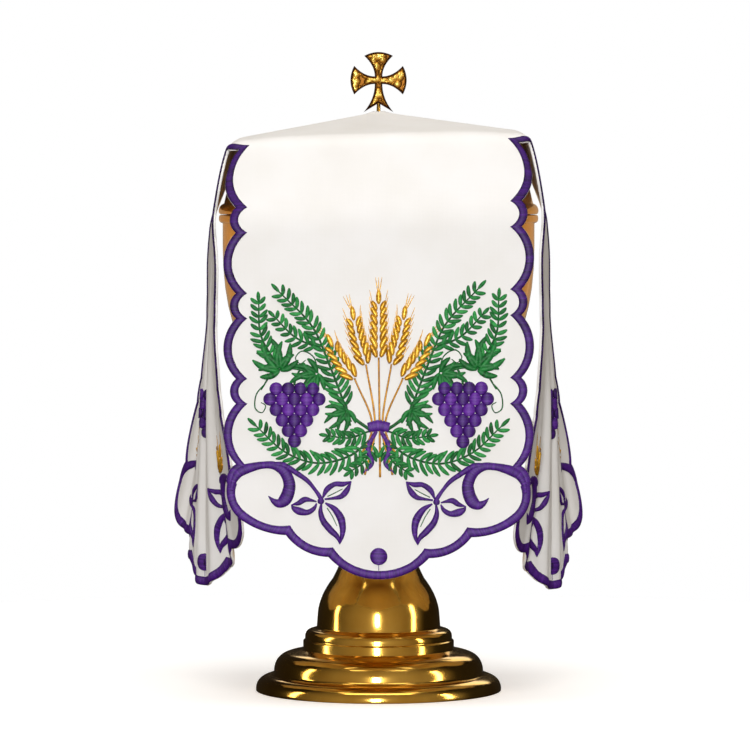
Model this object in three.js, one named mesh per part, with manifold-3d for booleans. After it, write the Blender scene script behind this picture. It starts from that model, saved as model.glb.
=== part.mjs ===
// A ciborium veil: one cross-shaped cloth with a scalloped edge, hanging over a brass ciborium.
// Millimetres, +Z up, the foot on z = 0, the stem on the Z axis and the front arm of the cloth towards -Y.
import * as THREE from "three";
import { mergeVertices } from "three/addons/utils/BufferGeometryUtils.js";
import Module from "manifold-3d";

// Driving dimensions
const gap = 0.35; // between pieces that rest on each other
const clothThickness = 1.2;
const clothPeak = 261.4; // height of the cloth's middle surface where it would meet the axis
const holeRadius = 3.2; // hole in the cloth for the finial
const squareness = 5; // how the two slopes of the top join: 2 is a round cone, more is a squarer roof
const columns = 8; // strips across each arm
const turnedSides = 32; // flats round each turned piece
const curveSteps = 3; // straight cuts in a curve of a turned profile, where its row gives no other number
const rodRadius = 3; // rod that draws foot, knob and bowl together
const boreRadius = 3.4; // its hole
const pinRadius = 1.3; // pin of the finial through the lid
const pinBore = 1.7;

// The line down the middle of an arm, outwards from the axis, as runs of cloth one after the other. Each run
// turns evenly from one slope to another, in degrees below the level.
const hangingLine = [
  { run: "from the finial", length: 8, from: 30, to: 9.5 },
  { run: "over the lid", length: 52.8, from: 9.5, to: 9.5 },
  { run: "round the shoulder", length: 8.8, from: 9.5, to: 74.5 },
  { run: "down the lid's side", length: 26, from: 74.5, to: 74.5 },
  { run: "easing to plumb", length: 12.2, from: 74.5, to: 90 },
  { run: "hanging free", length: 200, from: 90, to: 90 },
];

// The cut edge. Notches lie notchHalf from the arm's middle line, and arcs stand out between them.
const firstNotch = 69; // from the cloth's centre, along the arm
const notchHalf = 61.8;
const large = { chord: 26.7, bulge: 5.4, steps: 6 };
const small = { chord: 11, bulge: 2.6, steps: 3 };
const corner = { bulge: 2.2, steps: 3 }; // the scallop between two neighbouring arms
const scallops = [large, small, large, small, large, small, large];
// Below the last notch: the rounded lobe, two shallow scallops and the pointed foot.
const hem = [
  { half: 65.7, along: 217.5, bulge: 1.6, steps: 3 },
  { half: 61.1, along: 232.1, bulge: 1.9, steps: 3 },
  { half: 40.2, along: 239.6, bulge: 1.8, steps: 4 },
  { half: 21.8, along: 248.9, bulge: 2.4, steps: 4 },
  { half: 0, along: 258.4, bulge: 2.5, steps: 4 },
];

// How each arm hangs. turn is the way it points, hand is -1 on an arm that mirrors its fellow, longer is how much
// longer it hangs than the front one, twist turns its lower end about the plumb line, flare pushes it outwards
// and bow draws both edges in.
const sideFolds = [
  { at: 4, width: 13, depth: 3.4, from: 110, full: 200 },
  { at: -26, width: 12, depth: -2.6, from: 140, full: 225 },
  { at: 40, width: 14, depth: -3, from: 150, full: 230 },
];
const backFolds = [
  { at: -18, width: 15, depth: 1.6, from: 120, full: 220 },
  { at: 27, width: 17, depth: -2.2, from: 110, full: 210 },
];
const arms = [
  { name: "front", turn: -90, hand: 1, longer: 1, twist: 0, flare: 0, bow: 0.8, folds: [] },
  { name: "right", turn: 0, hand: 1, longer: 1.054, twist: 19, flare: 2.5, bow: 0, folds: sideFolds },
  { name: "back", turn: 90, hand: 1, longer: 1, twist: 0, flare: 0, bow: 1.2, folds: backFolds },
  { name: "left", turn: 180, hand: -1, longer: 1.054, twist: 19, flare: 2.5, bow: 0, folds: sideFolds },
];
const spread = { from: firstNotch, full: 92 }; // where an arm's width stops following the lid's slope
const twistRun = { from: 150, full: 252, power: 1.5 };
const flareRun = { from: 110, full: 250 };
const lean = 0.026; // the cloth lies askew: its right is this much higher, for each millimetre off the middle
const leanBack = 1.5; // and the hems lie the other way by what passes 1
const shoulderRings = [66.8, 64.8, 62.8, 60.8]; // loops of vertices round the shoulder
const topRings = [42, 22, 8]; // and on the lid's cone

// Turned profiles, radius r and height z, with the point that pulls a curve into shape where there is one.
const footProfile = [
  { r: boreRadius, z: 9 },
  { r: 9.5, z: 9 },
  { r: 9.5, z: 2 },
  { r: 46, z: 2 },
  { r: 46, z: 0 },
  { r: 55.3, z: 0 },
  { r: 55.3, z: 1.2 },
  { r: 48, z: 7.3, pull: [55, 6.4] },
  { r: 47.2, z: 8.4 },
  { r: 37.6, z: 17.8, pull: [47.2, 17] },
  { r: 34, z: 18.7 },
  { r: 34, z: 22.6 },
  { r: 33.1, z: 23.1 },
  { r: 29.6, z: 27.8, pull: [33.6, 27.6] },
  { r: 27.9, z: 28.5 },
  { r: 27.4, z: 35 },
  { r: 20.6, z: 50.6, pull: [26.8, 42.5] },
  { r: 11.2, z: 82, pull: [13.5, 64] },
  { r: 13.6, z: 86, pull: [11.2, 84.6] },
  { r: boreRadius, z: 86 },
];
const knobProfile = [
  { r: boreRadius, z: 86 + gap },
  { r: 13.6, z: 86 + gap },
  { r: 13.6, z: 89.6 },
  { r: 11.4, z: 91.6 },
  { r: 20.6, z: 102, pull: [20.6, 94.4] },
  { r: 11.4, z: 112.4, pull: [20.6, 109.6] },
  { r: 13.6, z: 114.4 },
  { r: 13.6, z: 118 },
  { r: boreRadius, z: 118 },
];
const bowlProfile = [
  { r: 0, z: 3 },
  { r: rodRadius, z: 3 },
  { r: rodRadius, z: 118 + gap },
  { r: 12.6, z: 118 + gap },
  { r: 9.8, z: 123, pull: [9.8, 119.4] },
  { r: 15, z: 128.6, pull: [9.8, 128.2] },
  { r: 70, z: 200, pull: [70, 130], steps: 8 },
  { r: 70, z: 210.6 },
  { r: 71.7, z: 212.4, pull: [71.7, 210.8] },
  { r: 71, z: 214.2, pull: [71.7, 214.2] },
  { r: 68.6, z: 214.2 },
  { r: 68.5, z: 200 },
  { r: 14, z: 130.6, pull: [68.5, 132], steps: 8 },
  { r: 0, z: 130.2 },
];
const lidProfile = [
  { r: pinBore, z: 257.2 },
  { r: 56.2, z: 246.4 },
  { r: 62.2, z: 240.4, pull: [60.9, 245.4] },
  { r: 67.6, z: 219 },
  { r: 66.7, z: 215.5 },
  { r: 66.7, z: 209.6 },
  { r: 68.1, z: 209.6 },
  { r: 68.1, z: 214.2 + gap },
  { r: 71, z: 214.2 + gap },
  { r: 71.8, z: 216.4, pull: [71.9, 214.9] },
  { r: 69.4, z: 219.3, pull: [71.4, 218.8] },
  { r: 64.2, z: 241.2 },
  { r: 57, z: 247.9, pull: [62.8, 246.7] },
  { r: pinBore, z: 258.7 },
];
const footNut = { radius: 7.4, bottom: 3.6, top: 9 - gap };
const lidNut = { radius: 3.8, bottom: 253.6, top: 256.4 };
const nutSides = 6;

// The finial: a cross with flared arms. waist and tip are half widths, tipReach and reach are how far the
// corners and the middle of an arm's end lie from the centre. The foot's end has a notch in it.
const cross = { centre: 274.6, waist: 1.7, waistReach: 2.3, tip: 6.4, tipReach: 10.9, reach: 12.6 };
const crossFoot = { tip: 6.7, tipReach: 14.3, notch: 10.3 };
const crossThickness = 3;
const crossBevel = 0.5;
const boss = { radius: 2, bottom: 259.05, top: 265.4 };
const pinBottom = 253.2;
const sideSteps = 5; // straight cuts in each curve of the cross
const pinSides = 16;

// Materials
const cloth = new THREE.MeshStandardMaterial({ color: 0xf3f1ee, roughness: 0.85, metalness: 0 });
const brass = new THREE.MeshStandardMaterial({ color: 0xc8922c, roughness: 0.18, metalness: 1 });
const gilt = new THREE.MeshStandardMaterial({ color: 0xd9a634, roughness: 0.32, metalness: 1 });

// The veil
const { sign, abs, sin, cos, min } = Math;
const { degToRad, smoothstep, lerp, clamp } = THREE.MathUtils;
const upright = new THREE.Vector3(0, 0, 1);
const middle = new THREE.Vector2();

// Distance out from the axis and drop below the peak, after a length of cloth along the hanging line.
function hang(length) {
  let out = 0;
  let drop = 0;
  let left = length;
  for (const part of hangingLine) {
    const step = min(left, part.length);
    const start = degToRad(part.from);
    const end = start + (degToRad(part.to - part.from) * step) / part.length;
    if (end === start) {
      out += step * cos(start);
      drop += step * sin(start);
    } else {
      const radius = step / (end - start);
      out += radius * (sin(end) - sin(start));
      drop += radius * (cos(start) - cos(end));
    }
    left -= step;
  }
  return { out, drop };
}

// The drop of a point that two slopes at right angles would lower by a and by b.
function joined(a, b) {
  return (a ** squareness + b ** squareness) ** (1 / squareness);
}

// How far a point is raised because the cloth lies askew, x to the right of its middle.
function askew(x, along) {
  const left = 1 - leanBack * smoothstep(along, firstNotch, hem.at(-1).along);
  return lean * clamp(x, -firstNotch, firstNotch) * left;
}

// A point of the flat top, x and y from the cloth's middle, laid over the lid.
function overLid(x, y) {
  const sideways = hang(abs(x));
  const forwards = hang(abs(y));
  const height = clothPeak - joined(sideways.drop, forwards.drop) + askew(x, 0);
  return new THREE.Vector3(sign(x) * sideways.out, sign(y) * forwards.out, height);
}

// How far an arm's folds push a point of it outwards.
function foldDepth(arm, across, along) {
  let depth = 0;
  for (const fold of arm.folds) {
    const off = (arm.hand * across - fold.at) / fold.width;
    depth += fold.depth * Math.exp(-off * off) * smoothstep(along, fold.from, fold.full);
  }
  return depth;
}

// A point of an arm below the shoulder, across from its middle line and along from the cloth's middle.
function downArm(arm, across, pattern) {
  const along = firstNotch + (pattern - firstNotch) * arm.longer;
  const free = smoothstep(along, spread.from, spread.full);
  const edge = hang(abs(across));
  const line = hang(along);
  const turning = clamp((along - twistRun.from) / (twistRun.full - twistRun.from), 0, 1) ** twistRun.power;
  const twist = degToRad(arm.twist) * arm.hand * turning;
  const width = lerp(sign(across) * edge.out, across, free);
  const flare = arm.flare * smoothstep(along, flareRun.from, flareRun.full);
  const bow = arm.bow * free * (across / notchHalf) ** 2;
  const out = line.out + flare - bow + foldDepth(arm, across, along) + width * sin(twist);
  const x = new THREE.Vector2(across, -along).rotateAround(middle, degToRad(arm.turn + 90)).x;
  const height = clothPeak - joined(line.drop, (1 - free) * edge.drop) + askew(x, along);
  return new THREE.Vector3(out, width * cos(twist), height).applyAxisAngle(upright, degToRad(arm.turn));
}

// Points on an arc, after a and up to b, standing out by bulge to the right of the way from a to b.
function arc(a, b, bulge, steps) {
  const way = b.clone().sub(a);
  const half = way.length() / 2;
  way.normalize();
  const outward = new THREE.Vector2(way.y, -way.x);
  const radius = (half * half + bulge * bulge) / (2 * bulge);
  const centre = a.clone().lerp(b, 0.5).addScaledVector(outward, bulge - radius);
  const reach = 2 * Math.atan(bulge / half);
  return Array.from({ length: steps }, (_, i) => {
    const angle = reach * ((2 * (i + 1)) / steps - 1);
    const point = centre.clone().addScaledVector(outward, radius * cos(angle));
    return point.addScaledVector(way, radius * sin(angle));
  });
}

// The cut edge of an arm from its first notch down: x is half the width there, y the distance along.
function armEdge() {
  const edge = [new THREE.Vector2(notchHalf, firstNotch)];
  for (const { chord, bulge, steps } of scallops) {
    const from = edge.at(-1);
    edge.push(...arc(from, new THREE.Vector2(notchHalf, from.y + chord), bulge, steps));
  }
  for (const { half, along, bulge, steps } of hem) {
    edge.push(...arc(edge.at(-1), new THREE.Vector2(half, along), bulge, steps));
  }
  return edge;
}

// A sheet of cloth. Each vertex is a pair, one on the outer face and one on the inner.
class Sheet {
  positions = [];
  triangles = [];

  // surface(u, v) is the middle of the sheet, and its outer side is the one where u turns to v.
  add(surface, u, v) {
    const nudge = 0.02;
    const alongU = surface(u + nudge, v).sub(surface(u - nudge, v));
    const alongV = surface(u, v + nudge).sub(surface(u, v - nudge));
    const normal = alongU.cross(alongV).normalize();
    for (const side of [0.5, -0.5]) {
      const point = surface(u, v).addScaledVector(normal, side * clothThickness);
      this.positions.push(point.x, point.y, point.z);
    }
    return this.positions.length / 6 - 1;
  }

  // Three corners, counter-clockwise seen from outside.
  face(a, b, c) {
    this.triangles.push(2 * a, 2 * b, 2 * c, 2 * a + 1, 2 * c + 1, 2 * b + 1);
  }

  quad(a, b, c, d) {
    this.face(a, b, c);
    this.face(a, c, d);
  }

  // The cut edge from a to b, with the cloth on the left.
  rim(a, b) {
    this.triangles.push(2 * a + 1, 2 * b + 1, 2 * b, 2 * a + 1, 2 * b, 2 * a);
  }

  geometry() {
    const made = new THREE.BufferGeometry();
    made.setAttribute("position", new THREE.Float32BufferAttribute(this.positions, 3));
    made.setIndex(this.triangles);
    made.computeVertexNormals();
    return made;
  }
}

// Where the top ends: each arm's first row, then the corner scallop that leads to the next arm.
function topLoop() {
  const loop = [];
  const from = new THREE.Vector2(notchHalf, -firstNotch);
  const to = new THREE.Vector2(firstNotch, -notchHalf);
  for (const arm of arms) {
    const place = (flat) => flat.rotateAround(middle, degToRad(arm.turn + 90));
    for (let i = 0; i <= columns; i++) {
      const across = notchHalf * ((2 * i) / columns - 1);
      loop.push({ arm, flat: place(new THREE.Vector2(across, -firstNotch)) });
    }
    const scallop = arc(from, to, corner.bulge, corner.steps).slice(0, -1);
    for (const flat of scallop) loop.push({ arm: null, flat: place(flat) });
  }
  return loop;
}

// One loop of vertices on the top, square at the shoulder and round at the hole.
function topRing(sheet, loop, reach) {
  const square = min(1, (reach - holeRadius) / (shoulderRings.at(-1) - holeRadius));
  return loop.map(({ flat }) => {
    const p = flat.clone().setLength(reach).lerp(flat.clone().multiplyScalar(reach / firstNotch), square);
    return sheet.add(overLid, p.x, p.y);
  });
}

function addTop(sheet, loop) {
  const reaches = [firstNotch, ...shoulderRings, ...topRings, holeRadius];
  const rings = reaches.map((reach) => topRing(sheet, loop, reach));
  const [outer, hole] = [rings[0], rings.at(-1)];
  loop.forEach((point, i) => {
    const j = (i + 1) % loop.length;
    for (let k = 0; k + 1 < rings.length; k++) {
      sheet.quad(rings[k][i], rings[k][j], rings[k + 1][j], rings[k + 1][i]);
    }
    if (!point.arm || !loop[j].arm) sheet.rim(outer[i], outer[j]);
    sheet.rim(hole[j], hole[i]);
  });
  return outer;
}

// An arm below its first row of vertices, row by row, down to its pointed foot.
function addArm(sheet, arm, firstRow) {
  const surface = (across, up) => downArm(arm, across, -up);
  const edge = armEdge();
  let above = firstRow;
  for (const { x: half, y: along } of edge.slice(1, -1)) {
    const row = above.map((_, i) => sheet.add(surface, half * ((2 * i) / columns - 1), -along));
    for (let i = 0; i < columns; i++) sheet.quad(row[i], row[i + 1], above[i + 1], above[i]);
    sheet.rim(above[0], row[0]);
    sheet.rim(row[columns], above[columns]);
    above = row;
  }
  const tip = sheet.add(surface, 0, -edge.at(-1).y);
  for (let i = 0; i < columns; i++) sheet.face(tip, above[i + 1], above[i]);
  sheet.rim(above[0], tip);
  sheet.rim(tip, above[columns]);
}

function veilGeometry() {
  const sheet = new Sheet();
  const loop = topLoop();
  const outer = addTop(sheet, loop);
  for (const arm of arms) {
    const first = loop.findIndex((point) => point.arm === arm);
    addArm(sheet, arm, outer.slice(first, first + columns + 1));
  }
  return sheet.geometry();
}

// The ciborium
// A turned piece. The profile closes on itself, or runs from the axis to the axis.
function turned(profile, sides = turnedSides) {
  const points = [new THREE.Vector2(profile[0].r, profile[0].z)];
  for (const { r, z, pull, steps = curveSteps } of profile.slice(1)) {
    const end = new THREE.Vector2(r, z);
    if (pull) {
      const curve = new THREE.QuadraticBezierCurve(points.at(-1), new THREE.Vector2(...pull), end);
      points.push(...curve.getPoints(steps).slice(1));
    } else {
      points.push(end);
    }
  }
  if (profile[0].r > 0) points.push(points[0].clone());
  return new THREE.LatheGeometry(points, sides).rotateX(Math.PI / 2);
}

// A nut whose flats, inside and out, all clear the round bore.
function nut({ radius, bottom, top }, bore) {
  const corner = bore / cos(Math.PI / nutSides);
  const profile = [
    { r: corner, z: bottom },
    { r: radius, z: bottom },
    { r: radius, z: top },
    { r: corner, z: top },
  ];
  return turned(profile, nutSides);
}

// The cross's outline about its centre, one arm after another from the top one on.
function crossOutline() {
  const shape = new THREE.Shape();
  const { waist, waistReach, tip, tipReach, reach } = cross;
  shape.moveTo(waist, waistReach);
  for (const quarter of [0, 1, 2, 3]) {
    const turn = (x, y) => new THREE.Vector2(x, y).rotateAround(middle, (quarter * Math.PI) / 2).toArray();
    const isFoot = quarter === 2;
    const half = isFoot ? crossFoot.tip : tip;
    const far = isFoot ? crossFoot.tipReach : tipReach;
    shape.quadraticCurveTo(...turn(waist, far * 0.6), ...turn(half, far));
    if (isFoot) {
      shape.lineTo(...turn(0, crossFoot.notch));
      shape.lineTo(...turn(-half, far));
    } else {
      shape.quadraticCurveTo(...turn(0, 2 * reach - far), ...turn(-half, far));
    }
    shape.quadraticCurveTo(...turn(-waist, far * 0.6), ...turn(-waist, waistReach));
    if (quarter < 3) shape.lineTo(...turn(-waistReach, waist));
  }
  return shape;
}

const wasm = await Module();
wasm.setup();

function solid(geometry) {
  const bare = geometry.clone();
  bare.deleteAttribute("normal");
  bare.deleteAttribute("uv");
  const { attributes, index } = mergeVertices(bare);
  return new wasm.Manifold(
    new wasm.Mesh({
      numProp: 3,
      vertProperties: attributes.position.array,
      triVerts: Uint32Array.from(index.array),
    }),
  );
}

function fromSolid(joinedSolid) {
  const { vertProperties, triVerts } = joinedSolid.getMesh();
  const made = new THREE.BufferGeometry();
  made.setAttribute("position", new THREE.Float32BufferAttribute(vertProperties, 3));
  made.setIndex(Array.from(triVerts));
  made.computeVertexNormals();
  return made;
}

function pin(radius, bottom, top) {
  const cylinder = new THREE.CylinderGeometry(radius, radius, top - bottom, pinSides);
  return cylinder.rotateX(Math.PI / 2).translate(0, 0, (bottom + top) / 2);
}

function finialGeometry() {
  const plate = new THREE.ExtrudeGeometry(crossOutline(), {
    depth: crossThickness - 2 * crossBevel,
    curveSegments: sideSteps,
    bevelThickness: crossBevel,
    bevelSize: crossBevel,
    bevelOffset: -crossBevel,
    bevelSegments: 1,
  });
  plate.translate(0, 0, crossBevel - crossThickness / 2).rotateX(Math.PI / 2);
  plate.translate(0, 0, cross.centre);
  const stem = solid(pin(boss.radius, boss.bottom, boss.top)).add(solid(pin(pinRadius, pinBottom, boss.top)));
  return fromSolid(solid(plate).add(stem));
}

// The whole object
const pieces = [
  { name: "veil", geometry: veilGeometry(), material: cloth },
  { name: "foot", geometry: turned(footProfile), material: brass },
  { name: "foot_nut", geometry: nut(footNut, boreRadius), material: brass },
  { name: "knob", geometry: turned(knobProfile), material: brass },
  { name: "bowl", geometry: turned(bowlProfile), material: brass },
  { name: "lid", geometry: turned(lidProfile), material: brass },
  { name: "finial_cross", geometry: finialGeometry(), material: gilt },
  { name: "finial_nut", geometry: nut(lidNut, pinBore), material: brass },
];

const ciboriumVeil = new THREE.Group();
for (const { name, geometry, material } of pieces) {
  const mesh = new THREE.Mesh(geometry, material);
  mesh.name = name;
  ciboriumVeil.add(mesh);
}

export default ciboriumVeil;
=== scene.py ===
# A ciborium veil on its ciborium: a white cross-shaped cloth with a scalloped purple edge and embroidery,
# draped over a covered brass altar cup with a turned foot and a cross finial. Shapes are worked out in mm.
import math
import bmesh
import bpy
import numpy as np
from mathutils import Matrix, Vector


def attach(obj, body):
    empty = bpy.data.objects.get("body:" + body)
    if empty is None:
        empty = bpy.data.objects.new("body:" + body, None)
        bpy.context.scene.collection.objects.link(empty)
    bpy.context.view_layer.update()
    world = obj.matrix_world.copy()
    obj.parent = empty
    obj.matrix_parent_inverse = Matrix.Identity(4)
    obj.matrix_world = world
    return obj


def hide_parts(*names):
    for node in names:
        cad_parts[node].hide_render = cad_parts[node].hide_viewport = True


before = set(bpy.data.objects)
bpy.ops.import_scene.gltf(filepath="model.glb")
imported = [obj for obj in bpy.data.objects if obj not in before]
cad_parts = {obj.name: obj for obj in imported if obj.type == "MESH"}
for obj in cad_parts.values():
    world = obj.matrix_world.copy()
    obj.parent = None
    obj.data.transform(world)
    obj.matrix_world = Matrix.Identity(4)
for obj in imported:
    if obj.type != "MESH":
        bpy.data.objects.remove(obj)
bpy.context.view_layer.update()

mm = 0.001

# How the cloth hangs
drapeShape = {
    "peak": 261.4,  # height of the cloth's middle surface where it would meet the axis
    "squareness": 5,  # how the two slopes of the top join
    "hole": 3.2,  # radius of the hole for the finial
    "thickness": 1.2,
    "firstNotch": 69.0,  # from the cloth's middle, along an arm
    "notchHalf": 61.8,  # half the width between the notches
    "tip": 258.4,  # from the cloth's middle to an arm's pointed foot
    "lean": 0.026,  # how much higher the right of the cloth lies, as a share of the width
    "leanBack": 1.5,
    "spreadFull": 92.0,  # where an arm has opened out to its full width, along it
    "twistFrom": 150.0,
    "twistFull": 252.0,
    "twistPower": 1.5,
    "turnInFull": 125.0,  # the side arms turn their faces a little to the front from the shoulder on
    "flareFrom": 110.0,
    "flareFull": 250.0,
}
# Runs of cloth outwards from the middle: length, and the slope below the level at its start and its end.
hangingLine = [
    {"length": 8, "start": 30, "end": 9.5},
    {"length": 52.8, "start": 9.5, "end": 9.5},
    {"length": 8.8, "start": 9.5, "end": 74.5},
    {"length": 26, "start": 74.5, "end": 74.5},
    {"length": 12.2, "start": 74.5, "end": 90},
    {"length": 400, "start": 90, "end": 90},
]
# Folds: place across the arm, width, depth, and the places along the arm where each starts and is full.
sideFolds = [(4, 13, 3.4, 110, 200), (-26, 12, -2.6, 140, 225), (40, 14, -3, 150, 230)]
backFolds = [(-18, 15, 1.6, 120, 220), (27, 17, -2.2, 110, 210)]
# Creases worn into the cloth, laid over the folds, in the same way
sideCreases = [
    (-1, 3.0, -2.3, 100, 165),
    (10, 3.0, -1.7, 130, 185),
    (-12, 3.2, 1.9, 120, 195),
    (-22, 3.0, -1.4, 165, 225),
    (-38, 3.4, 1.5, 150, 210),
    (23, 3.4, 1.7, 140, 210),
    (35, 3.2, -1.4, 125, 200),
    (50, 3.2, -1.2, 150, 200),
]
plainCreases = [(-34, 9, 0.35, 95, 150), (29, 11, -0.4, 120, 190), (52, 6, 0.3, 150, 215)]
# A hand of -1 mirrors an arm's folds. "longer" is its length below the shoulder as a share of the front's,
# "turnIn" and "twist" are how far its face turns at the shoulder and at its end in degrees, "flare" is how
# far its end stands out, and "bow" how far its edges bend back.
plainArm = {"hand": 1, "longer": 1.0, "turnIn": 0, "twist": 0, "flare": 0}
sideArm = {"longer": 1.054, "turnIn": 3.6, "twist": 19, "flare": 2.5, "bow": 0}
sideArm["folds"] = sideFolds + sideCreases
arms = [
    {**plainArm, "name": "front", "turn": -90, "bow": 0.8, "folds": plainCreases},
    {**sideArm, "name": "right", "turn": 0, "hand": 1},
    {**plainArm, "name": "back", "turn": 90, "bow": 1.2, "folds": backFolds + plainCreases},
    {**sideArm, "name": "left", "turn": 180, "hand": -1},
]


def smooth(x, start, full):
    # 0 up to start, 1 from full on, and an even S between them
    t = np.clip((x - start) / (full - start), 0, 1)
    return t * t * (3 - 2 * t)


def turned(flat, degrees):
    # flat points turned about the cloth's middle
    a = math.radians(degrees)
    x, y = flat[..., 0], flat[..., 1]
    return np.stack([x * math.cos(a) - y * math.sin(a), x * math.sin(a) + y * math.cos(a)], -1)


def hang(length):
    # each run of cloth adds its chord, length times sin(h) / h with h half its turn, at its mean slope
    out = np.zeros_like(length)
    drop = np.zeros_like(length)
    left = length.copy()
    for run in hangingLine:
        step = np.minimum(left, run["length"])
        start = math.radians(run["start"])
        half = math.radians(run["end"] - run["start"]) / run["length"] * step / 2
        chord = step * np.sinc(half / np.pi)
        out += chord * np.cos(start + half)
        drop += chord * np.sin(start + half)
        left = left - step
    return out, drop


def joined(a, b):
    # the drop where two slopes at right angles meet: the fifth root of the sum of fifth powers
    p = drapeShape["squareness"]
    return (a ** p + b ** p) ** (1 / p)


def askew(x, along):
    # the cloth lies a little askew: its right is raised by a share of x, and its hems lean the other way
    s = drapeShape
    lean = 1 - s["leanBack"] * smooth(along, s["firstNotch"], s["tip"])
    return s["lean"] * np.clip(x, -s["firstNotch"], s["firstNotch"]) * lean


def overLid(x, y):
    # the flat top: x and y each follow the hanging line, and their drops are joined
    sideways, sidewaysDrop = hang(np.abs(x))
    forwards, forwardsDrop = hang(np.abs(y))
    height = drapeShape["peak"] - joined(sidewaysDrop, forwardsDrop) + askew(x, np.zeros_like(x))
    return np.stack([np.sign(x) * sideways, np.sign(y) * forwards, height], -1)


def downArm(arm, across, pattern):
    # an arm: its middle line hangs, its width opens out below the shoulder, folds stand out as bell curves,
    # and its lower end is twisted about the plumb line
    s = drapeShape
    along = s["firstNotch"] + (pattern - s["firstNotch"]) * arm["longer"]
    free = smooth(along, s["firstNotch"], s["spreadFull"])
    edgeOut, edgeDrop = hang(np.abs(across))
    lineOut, lineDrop = hang(along)
    turning = np.clip((along - s["twistFrom"]) / (s["twistFull"] - s["twistFrom"]), 0, 1) ** s["twistPower"]
    early = arm["turnIn"] * smooth(along, s["firstNotch"], s["turnInFull"])
    twist = np.radians(early + (arm["twist"] - early) * turning) * arm["hand"]
    width = np.sign(across) * edgeOut * (1 - free) + across * free
    out = lineOut + arm["flare"] * smooth(along, s["flareFrom"], s["flareFull"])
    out = out - arm["bow"] * free * (across / s["notchHalf"]) ** 2
    for place, foldWidth, depth, start, full in arm["folds"]:
        off = (arm["hand"] * across - place) / foldWidth
        out = out + depth * np.exp(-off * off) * smooth(along, start, full)
    out = out + width * np.sin(twist)
    x = turned(np.stack([across, -along], -1), arm["turn"] + 90)[..., 0]
    height = s["peak"] - joined(lineDrop, (1 - free) * edgeDrop) + askew(x, along)
    level = turned(np.stack([out, width * np.cos(twist)], -1), arm["turn"])
    return np.concatenate([level, height[..., None]], -1)


def drape(flat):
    # a flat point of the whole cloth, x to the right and y to the back, laid where it hangs
    points = overLid(flat[:, 0], flat[:, 1])
    for arm in arms:
        local = turned(flat, -(arm["turn"] + 90))
        below = -local[:, 1] > drapeShape["firstNotch"]
        points[below] = downArm(arm, local[below, 0], -local[below, 1])
    return points


def onCloth(flat, height):
    # flat points laid on the draped cloth, height above its middle surface: the two slopes' cross product
    # is the way out
    nudge = 0.04
    sideways = drape(flat + [nudge, 0]) - drape(flat - [nudge, 0])
    backwards = drape(flat + [0, nudge]) - drape(flat - [0, nudge])
    outward = np.cross(sideways, backwards)
    outward /= np.linalg.norm(outward, axis=1, keepdims=True)
    return drape(flat) + outward * np.asarray(height)[..., None]


# The cut edge of one arm: scallops down its right side from the first notch, then the hem's lobes to the foot
edgeShape = {
    "large": (26.7, 5.4),  # chord and bulge
    "small": (11.0, 2.6),
    "order": "lslslsl",  # large and small scallops down the side
    "cornerBulge": 2.2,
    "margin": -0.05,  # the border's edge from the cut edge: minus is outside it
    "middleWidth": 3.7,  # border's width in the middle of a scallop
    "notchWidth": 5.0,
    "arcLonger": 1.06,  # how much longer a scallop's arc is than its chord, about
}
# half width, distance along, bulge of the arc that leads there, width of the border there
hem = [
    (65.7, 217.5, 1.6, 4.3),
    (61.1, 232.1, 1.9, 4.0),
    (40.2, 239.6, 1.8, 4.7),
    (21.8, 248.9, 2.4, 4.7),
    (0, 258.4, 2.5, 3.7),
]


def sideCorners():
    # rows of x, y, bulge of the arc after it, border width, down an arm's right side
    s = edgeShape
    scallops = [s["large"] if letter == "l" else s["small"] for letter in s["order"]]
    alongs = drapeShape["firstNotch"] + np.cumsum([0] + [chord for chord, _ in scallops])
    rows = [(drapeShape["notchHalf"], along, s["notchWidth"]) for along in alongs]
    rows += [(half, along, width) for half, along, _, width in hem]
    bulges = [bulge for _, bulge in scallops] + [bulge for _, _, bulge, _ in hem]
    return np.array([(half, -along, bulge, width) for (half, along, width), bulge in zip(rows, bulges + [0])])


def wholeOutline():
    # the corners all round the cloth, counter-clockwise: each arm down its left side, up its right, then the
    # scallop in the corner between two arms
    side = sideCorners()
    leftSide = side * [-1, 1, 1, 1]
    rightSide = side[:-1][::-1].copy()
    rightSide[:, 2] = np.append(side[:-2, 2][::-1], edgeShape["cornerBulge"])
    tip = leftSide[-1:].copy()
    tip[:, 2] = side[-2, 2]
    one = np.vstack([leftSide[:-1], tip, rightSide])
    return np.vstack([np.hstack([turned(one[:, :2], arm["turn"] + 90), one[:, 2:]]) for arm in arms])


def arcPoints(a, b, bulge, share):
    # points on the arc from a to b that stands out by bulge on the right, at the given shares of its angle
    way = b - a
    half = np.linalg.norm(way) / 2
    outward = np.array([way[1], -way[0]]) / (2 * half)
    radius = (half * half + bulge * bulge) / (2 * bulge)
    centre = (a + b) / 2 + outward * (bulge - radius)
    angle = 2 * math.atan(bulge / half) * (2 * share - 1)
    forward = way / (2 * half)
    return centre + radius * (np.cos(angle)[:, None] * outward + np.sin(angle)[:, None] * forward)


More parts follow.
